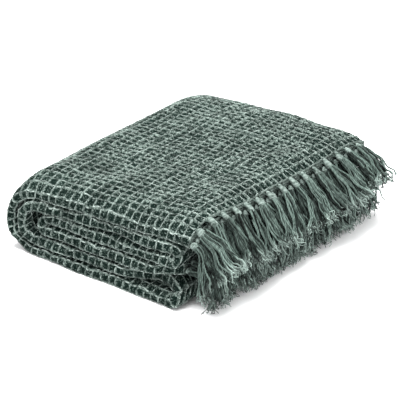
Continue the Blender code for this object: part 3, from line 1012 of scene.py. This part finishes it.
# a lock below its knot: its strands keep together in clumps that part towards the tips
def addLock(yarns, dice, end, lock):
    look = lockLook
    strands, reach = lock[4:]
    looser = look["lowLooser"] if end[0] == "low" else 1.0
    longest = look["longest"]
    own = {
        "sway": dice.gauss(0, look["sway"]) * looser, "bow": dice.gauss(0, look["bow"]),
        "tip": reach * dice.uniform(longest - look["shorter"] * looser, longest),
        "open": dice.uniform(*look["open"]) + look["farOpen"] * farShare(lock[0]),
        "waves": dice.uniform(*look["waves"]),
    }
    if lock[1] == 0.0:
        own.update(look["onFold"])
    count = look["clumps"]
    clumps = []
    for k in range(count):
        clumps.append({
            "a": (2 * k + 1) / count - 1 + dice.gauss(0, look["aside"]),
            "b": dice.uniform(-look["over"], look["over"]),
            "curlA": dice.gauss(0, look["curlAside"]), "curlB": dice.gauss(0, look["curlOver"]),
            "turn": dice.uniform(0, 2 * pi), "tip": dice.uniform(*look["tips"])})
    for k in range(strands):
        part = (k + dice.random()) / strands
        addStrand(yarns, dice, end, lock, own, clumps[int(part * count)], 2 * part - 1)


# a knot: an uneven ball of yarn with wraps round it
def addKnot(yarns, dice, end, lock):
    size = dice.uniform(*knot["size"])
    around, over = knot["around"], knot["over"]
    tilt = dice.uniform(-knot["tilt"], knot["tilt"])
    turnedBy = dice.uniform(0, 2 * pi)
    rings, lengths = [], []
    for k in range(over + 1):
        part = k / over
        share = fringe["knotAt"] + knot["long"] * size * (part - 0.5)
        bulge = sqrt(max(0.0, 1 - (2 * knot["closed"] * part - knot["closed"]) ** 2))
        ring = []
        for n in range(around):
            turn = 2 * pi * n / around
            wrap = 1 + knot["wrapSize"] * sin(turn + 2 * pi * knot["wraps"] * part + turnedBy)
            aside = knot["wide"] * size * bulge * wrap * cos(turn) + knot["tiltBy"] * tilt * (part - 0.5)
            high = knot["deep"] * size * bulge * wrap * sin(turn)
            ring.append(lockPoint(end, lock, share, aside, high))
        rings.append(ring)
        lengths.append(knot["yarnLength"] * part)
    addTube(yarns, rings, lengths, strandNumber(dice))


# the warp ends that gather from the cloth's edge into the knot
def addRoots(yarns, dice, end, lock):
    y, rise = lock[:2]
    onFold = rise == 0.0
    count = roots["onFold"] if onFold else roots["count"]
    steps, uneven = roots["steps"], roots["uneven"]
    height = layerHeight(end[1])
    for k in range(count):
        away = (k - (count - 1) / 2) * roots["apart"] + dice.uniform(-uneven, uneven)
        rootY = y + away if not onFold else y + roots["foldInward"]
        rootRise = rise + (away if onFold else dice.uniform(-roots["level"], roots["level"]))
        rootY += drawnIn(end[2], rootY, height)
        root = settle(end[2] - roots["inCloth"], rootY, height + rootRise)
        into = dice.uniform(-roots["intoKnot"], roots["intoKnot"])
        target = lockPoint(end, lock, fringe["knotAt"], away * roots["gather"], into)
        middles, lengths = [], []
        for step in range(steps + 1):
            middles.append(root.lerp(target, step / steps))
            middles[-1].z += roots["arch"] * sin(pi * step / steps)
            lengths.append(roots["stepLength"] * step)
        followTube(yarns, middles, [roots["radius"]] * (steps + 1), roots["sides"], lengths,
                   strandNumber(dice))


def fringeOf(end):
    dice = random.Random(fringe["seed"] + end[1])
    strands, knots = newYarns(), newYarns()
    for lock in lockList(end, dice):
        addLock(strands, dice, end, lock)
        addKnot(knots, dice, end, lock)
        addRoots(strands, dice, end, lock)
    return [meshObject(strands[0], end[0] + "FringeStrands", fringeYarn),
            meshObject(knots[0], end[0] + "FringeKnots", knotYarn)]


# put it together
print("weaving the sheet")
wovenThrow = weaveSheet()
print("laying the pale yarns")
gridPieces = [gridYarns(True), gridYarns(False)]
print("knotting the fringe")
fringePieces = {end[0]: fringeOf(end) for end in fringeEnds}

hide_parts("throw_cloth")
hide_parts("fringe_top_end")
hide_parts("fringe_low_end")
others = gridPieces + fringePieces["top"] + fringePieces["low"]
for piece in [wovenThrow] + others:
    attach(piece, "root")


# floor, light and camera
studio = {
    "floor": (0.97, 0.97, 0.975),
    "sky": 1.32,
    "keyPower": 168.0, "keySize": 1.8, "keyFrom": (-0.2, 0.0, 2.55),
    "fillPower": 12.0, "fillSize": 1.2, "fillFrom": (2.1, -0.6, 1.3),
    "floorSize": 12, "floorRoughness": 0.9, "floorSpecular": 0.5,
}
# angles in degrees; middle is where the aim falls in a frame of that many pixels
view = {"azimuth": 37.8, "elevation": 26.3, "distance": 2.889, "pixelsPerMetre": 893.6,
        "middle": (202.46, 199.22), "aim": (0.0, 0.0, 0.04), "frame": 400, "sensor": 36}


def addFloor():
    bpy.ops.mesh.primitive_plane_add(size=studio["floorSize"], location=(0, 0, 0))
    floorPlane = bpy.context.object
    floorPlane.name = "paleFloor"
    paint, _, shader = newMaterial("paleFloorPaint", studio["floorRoughness"], studio["floorSpecular"])
    shader.inputs["Base Color"].default_value = (*studio["floor"], 1)
    floorPlane.data.materials.append(paint)


def addLight(name, place, power, size):
    data = bpy.data.lights.new(name, "AREA")
    data.energy = power
    data.shape = "DISK"
    data.size = size
    lamp = putInScene(name, data)
    lamp.location = place
    lamp.rotation_euler = (Vector(view["aim"]) - Vector(place)).to_track_quat("-Z", "Y").to_euler()


def addSky():
    world = bpy.data.worlds.new("softSky")
    world.use_nodes = True
    back = world.node_tree.nodes["Background"]
    back.inputs["Color"].default_value = (1, 1, 1, 1)
    back.inputs["Strength"].default_value = studio["sky"]
    bpy.context.scene.world = world
    bpy.context.scene.view_settings.view_transform = "Standard"


def addCamera():
    azimuth, elevation = radians(view["azimuth"]), radians(view["elevation"])
    back = Vector((sin(azimuth) * cos(elevation), -cos(azimuth) * cos(elevation), sin(elevation)))
    right = Vector((cos(azimuth), sin(azimuth), 0))
    up = back.cross(right)
    half = view["frame"] / 2
    aim = Vector(view["aim"])
    aim += right * (half - view["middle"][0]) / view["pixelsPerMetre"]
    aim += up * (view["middle"][1] - half) / view["pixelsPerMetre"]
    data = bpy.data.cameras.new("studioCamera")
    data.sensor_width = view["sensor"]
    data.lens = view["pixelsPerMetre"] * view["distance"] * view["sensor"] / view["frame"]
    data.clip_end = 50
    camera = putInScene("studioCamera", data)
    camera.location = aim + back * view["distance"]
    camera.rotation_euler = (-back).to_track_quat("-Z", "Y").to_euler()
    bpy.context.scene.camera = camera


print("setting up the studio")
addFloor()
addSky()
addLight("keyLight", studio["keyFrom"], studio["keyPower"], studio["keySize"])
addLight("fillLight", studio["fillFrom"], studio["fillPower"], studio["fillSize"])
addCamera()
